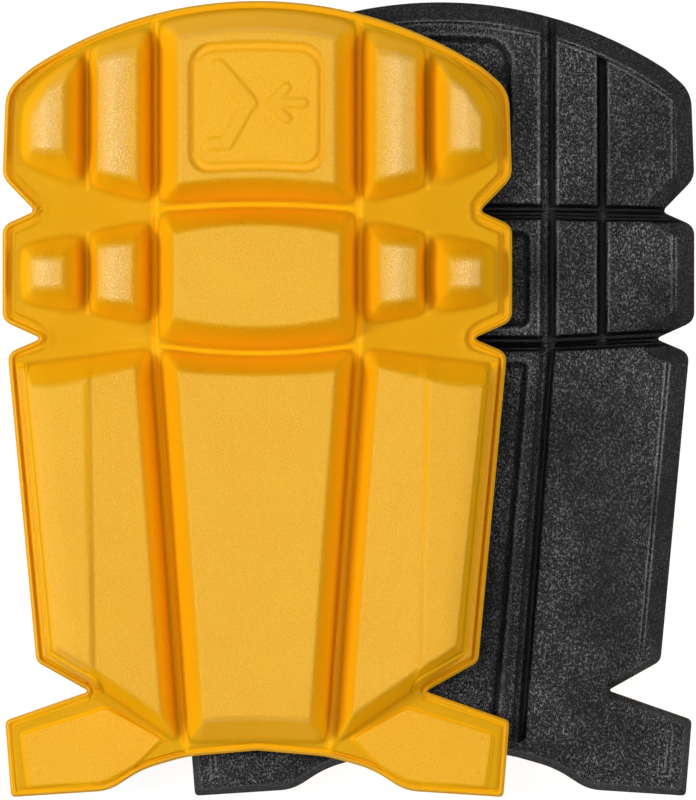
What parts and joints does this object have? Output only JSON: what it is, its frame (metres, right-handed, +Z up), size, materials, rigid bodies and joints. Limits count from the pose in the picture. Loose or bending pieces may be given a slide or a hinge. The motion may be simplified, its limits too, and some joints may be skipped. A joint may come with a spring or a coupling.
{
  "type": "knee pads",
  "caption": "Pair of moulded foam insert knee pads with cushioned blocks parted by flex grooves, lying back to back, one cushion side up and the other shell side up.",
  "frame": {"origin": "centre of the pair's bounding box on the surface that it lies on", "axes": "+Y towards the thigh ends, +Z up off the surface, +X from the top pad towards the bottom pad"},
  "size_m": [0.2176, 0.2499, 0.0423],
  "materials": {
    "cushion_foam": "satin",
    "shell_foam": "matte"
  },
  "bodies": {
    "bottom_pad_thigh_centre": {"bottom_pad_thigh_centre_cushion": "cushion_foam", "bottom_pad_thigh_centre_shell": "shell_foam"},
    "bottom_pad_thigh_left": {"bottom_pad_thigh_left_cushion": "cushion_foam", "bottom_pad_thigh_left_shell": "shell_foam"},
    "bottom_pad_thigh_right": {"bottom_pad_thigh_right_cushion": "cushion_foam", "bottom_pad_thigh_right_shell": "shell_foam"},
    "bottom_pad_knee_centre": {"bottom_pad_knee_centre_cushion": "cushion_foam", "bottom_pad_knee_centre_shell": "shell_foam"},
    "bottom_pad_knee_left": {"bottom_pad_knee_left_cushion": "cushion_foam", "bottom_pad_knee_left_shell": "shell_foam"},
    "bottom_pad_knee_right": {"bottom_pad_knee_right_cushion": "cushion_foam", "bottom_pad_knee_right_shell": "shell_foam"},
    "bottom_pad_shin_centre": {"bottom_pad_shin_centre_cushion": "cushion_foam", "bottom_pad_shin_centre_shell": "shell_foam"},
    "bottom_pad_shin_left": {"bottom_pad_shin_left_cushion": "cushion_foam", "bottom_pad_shin_left_shell": "shell_foam"},
    "bottom_pad_shin_right": {"bottom_pad_shin_right_cushion": "cushion_foam", "bottom_pad_shin_right_shell": "shell_foam"},
    "bottom_pad_wing_left": {"bottom_pad_wing_left_cushion": "cushion_foam", "bottom_pad_wing_left_shell": "shell_foam"},
    "bottom_pad_wing_right": {"bottom_pad_wing_right_cushion": "cushion_foam", "bottom_pad_wing_right_shell": "shell_foam"},
    "top_pad_thigh_centre": {"top_pad_thigh_centre_cushion": "cushion_foam", "top_pad_thigh_centre_shell": "shell_foam"},
    "top_pad_thigh_left": {"top_pad_thigh_left_cushion": "cushion_foam", "top_pad_thigh_left_shell": "shell_foam"},
    "top_pad_thigh_right": {"top_pad_thigh_right_cushion": "cushion_foam", "top_pad_thigh_right_shell": "shell_foam"},
    "top_pad_knee_centre": {"top_pad_knee_centre_cushion": "cushion_foam", "top_pad_knee_centre_shell": "shell_foam"},
    "top_pad_knee_left": {"top_pad_knee_left_cushion": "cushion_foam", "top_pad_knee_left_shell": "shell_foam"},
    "top_pad_knee_right": {"top_pad_knee_right_cushion": "cushion_foam", "top_pad_knee_right_shell": "shell_foam"},
    "top_pad_shin_centre": {"top_pad_shin_centre_cushion": "cushion_foam", "top_pad_shin_centre_shell": "shell_foam"},
    "top_pad_shin_left": {"top_pad_shin_left_cushion": "cushion_foam", "top_pad_shin_left_shell": "shell_foam"},
    "top_pad_shin_right": {"top_pad_shin_right_cushion": "cushion_foam", "top_pad_shin_right_shell": "shell_foam"},
    "top_pad_wing_left": {"top_pad_wing_left_cushion": "cushion_foam", "top_pad_wing_left_shell": "shell_foam"},
    "top_pad_wing_right": {"top_pad_wing_right_cushion": "cushion_foam", "top_pad_wing_right_shell": "shell_foam"}
  },
  "joints": [
    {"name": "bottom_pad_thigh_fold", "type": "hinge", "parent": "bottom_pad_knee_centre", "child": "bottom_pad_thigh_centre", "pos_m": [0.0288, 0.0595, 0.014], "axis": [-1, 0, 0], "range_deg": [0, 40], "stiffness_Nm_per_rad": 0.1},
    {"name": "bottom_pad_shin_fold", "type": "hinge", "parent": "bottom_pad_knee_centre", "child": "bottom_pad_shin_centre", "pos_m": [0.0288, 0.0169, 0.014], "axis": [1, 0, 0], "range_deg": [0, 40], "stiffness_Nm_per_rad": 0.1},
    {"name": "bottom_pad_knee_wrap_left", "type": "hinge", "parent": "bottom_pad_knee_centre", "child": "bottom_pad_knee_left", "pos_m": [0.0608, 0.0382, 0.014], "axis": [0, 1, 0], "range_deg": [0, 25], "stiffness_Nm_per_rad": 0.05},
    {"name": "bottom_pad_thigh_wrap_left", "type": "hinge", "parent": "bottom_pad_thigh_centre", "child": "bottom_pad_thigh_left", "pos_m": [0.0608, 0.09, 0.014], "axis": [0, 1, 0], "range_deg": [0, 25], "stiffness_Nm_per_rad": 0.05},
    {"name": "bottom_pad_shin_wrap_left", "type": "hinge", "parent": "bottom_pad_shin_centre", "child": "bottom_pad_shin_left", "pos_m": [0.05595, -0.04745, 0.014], "axis": [0.069, 0.9976, 0], "range_deg": [0, 25], "stiffness_Nm_per_rad": 0.05},
    {"name": "bottom_pad_wing_flex_left", "type": "hinge", "parent": "bottom_pad_shin_left", "child": "bottom_pad_wing_left", "pos_m": [0.06695, -0.1018, 0.014], "axis": [0.8395, 0.5434, 0], "range_deg": [0, 35], "stiffness_Nm_per_rad": 0.01},
    {"name": "bottom_pad_knee_wrap_right", "type": "hinge", "parent": "bottom_pad_knee_centre", "child": "bottom_pad_knee_right", "pos_m": [-0.0032, 0.0382, 0.014], "axis": [0, -1, 0], "range_deg": [0, 25], "stiffness_Nm_per_rad": 0.05},
    {"name": "bottom_pad_thigh_wrap_right", "type": "hinge", "parent": "bottom_pad_thigh_centre", "child": "bottom_pad_thigh_right", "pos_m": [-0.0032, 0.09, 0.014], "axis": [0, -1, 0], "range_deg": [0, 25], "stiffness_Nm_per_rad": 0.05},
    {"name": "bottom_pad_shin_wrap_right", "type": "hinge", "parent": "bottom_pad_shin_centre", "child": "bottom_pad_shin_right", "pos_m": [0.00165, -0.04745, 0.014], "axis": [0.069, -0.9976, 0], "range_deg": [0, 25], "stiffness_Nm_per_rad": 0.05},
    {"name": "bottom_pad_wing_flex_right", "type": "hinge", "parent": "bottom_pad_shin_right", "child": "bottom_pad_wing_right", "pos_m": [-0.00935, -0.1018, 0.014], "axis": [0.8395, -0.5434, 0], "range_deg": [0, 35], "stiffness_Nm_per_rad": 0.01},
    {"name": "top_pad_lift_off", "type": "slide", "parent": "bottom_pad_knee_centre", "child": "top_pad_knee_centre", "axis": [0, 0, 1], "range_m": [0, 0.06]},
    {"name": "top_pad_thigh_fold", "type": "hinge", "parent": "top_pad_knee_centre", "child": "top_pad_thigh_centre", "pos_m": [-0.0288, 0.0595, 0.0283], "axis": [1, 0, 0], "range_deg": [0, 40], "stiffness_Nm_per_rad": 0.1},
    {"name": "top_pad_shin_fold", "type": "hinge", "parent": "top_pad_knee_centre", "child": "top_pad_shin_centre", "pos_m": [-0.0288, 0.0169, 0.0283], "axis": [-1, 0, 0], "range_deg": [0, 40], "stiffness_Nm_per_rad": 0.1},
    {"name": "top_pad_knee_wrap_left", "type": "hinge", "parent": "top_pad_knee_centre", "child": "top_pad_knee_left", "pos_m": [-0.0608, 0.0382, 0.0283], "axis": [0, 1, 0], "range_deg": [0, 25], "stiffness_Nm_per_rad": 0.05},
    {"name": "top_pad_thigh_wrap_left", "type": "hinge", "parent": "top_pad_thigh_centre", "child": "top_pad_thigh_left", "pos_m": [-0.0608, 0.09, 0.0283], "axis": [0, 1, 0], "range_deg": [0, 25], "stiffness_Nm_per_rad": 0.05},
    {"name": "top_pad_shin_wrap_left", "type": "hinge", "parent": "top_pad_shin_centre", "child": "top_pad_shin_left", "pos_m": [-0.05595, -0.04745, 0.0283], "axis": [-0.069, 0.9976, 0], "range_deg": [0, 25], "stiffness_Nm_per_rad": 0.05},
    {"name": "top_pad_wing_flex_left", "type": "hinge", "parent": "top_pad_shin_left", "child": "top_pad_wing_left", "pos_m": [-0.06695, -0.1018, 0.0283], "axis": [-0.8395, 0.5434, 0], "range_deg": [0, 35], "stiffness_Nm_per_rad": 0.01},
    {"name": "top_pad_knee_wrap_right", "type": "hinge", "parent": "top_pad_knee_centre", "child": "top_pad_knee_right", "pos_m": [0.0032, 0.0382, 0.0283], "axis": [0, -1, 0], "range_deg": [0, 25], "stiffness_Nm_per_rad": 0.05},
    {"name": "top_pad_thigh_wrap_right", "type": "hinge", "parent": "top_pad_thigh_centre", "child": "top_pad_thigh_right", "pos_m": [0.0032, 0.09, 0.0283], "axis": [0, -1, 0], "range_deg": [0, 25], "stiffness_Nm_per_rad": 0.05},
    {"name": "top_pad_shin_wrap_right", "type": "hinge", "parent": "top_pad_shin_centre", "child": "top_pad_shin_right", "pos_m": [-0.00165, -0.04745, 0.0283], "axis": [-0.069, -0.9976, 0], "range_deg": [0, 25], "stiffness_Nm_per_rad": 0.05},
    {"name": "top_pad_wing_flex_right", "type": "hinge", "parent": "top_pad_shin_right", "child": "top_pad_wing_right", "pos_m": [0.00935, -0.1018, 0.0283], "axis": [-0.8395, -0.5434, 0], "range_deg": [0, 35], "stiffness_Nm_per_rad": 0.01}
  ],
  "couplings": [
    {"joint": "bottom_pad_thigh_wrap_left", "follows": "bottom_pad_knee_wrap_left", "ratio": 1},
    {"joint": "bottom_pad_shin_wrap_left", "follows": "bottom_pad_knee_wrap_left", "ratio": 1},
    {"joint": "bottom_pad_thigh_wrap_right", "follows": "bottom_pad_knee_wrap_right", "ratio": 1},
    {"joint": "bottom_pad_shin_wrap_right", "follows": "bottom_pad_knee_wrap_right", "ratio": 1},
    {"joint": "top_pad_thigh_wrap_left", "follows": "top_pad_knee_wrap_left", "ratio": 1},
    {"joint": "top_pad_shin_wrap_left", "follows": "top_pad_knee_wrap_left", "ratio": 1},
    {"joint": "top_pad_thigh_wrap_right", "follows": "top_pad_knee_wrap_right", "ratio": 1},
    {"joint": "top_pad_shin_wrap_right", "follows": "top_pad_knee_wrap_right", "ratio": 1}
  ]
}
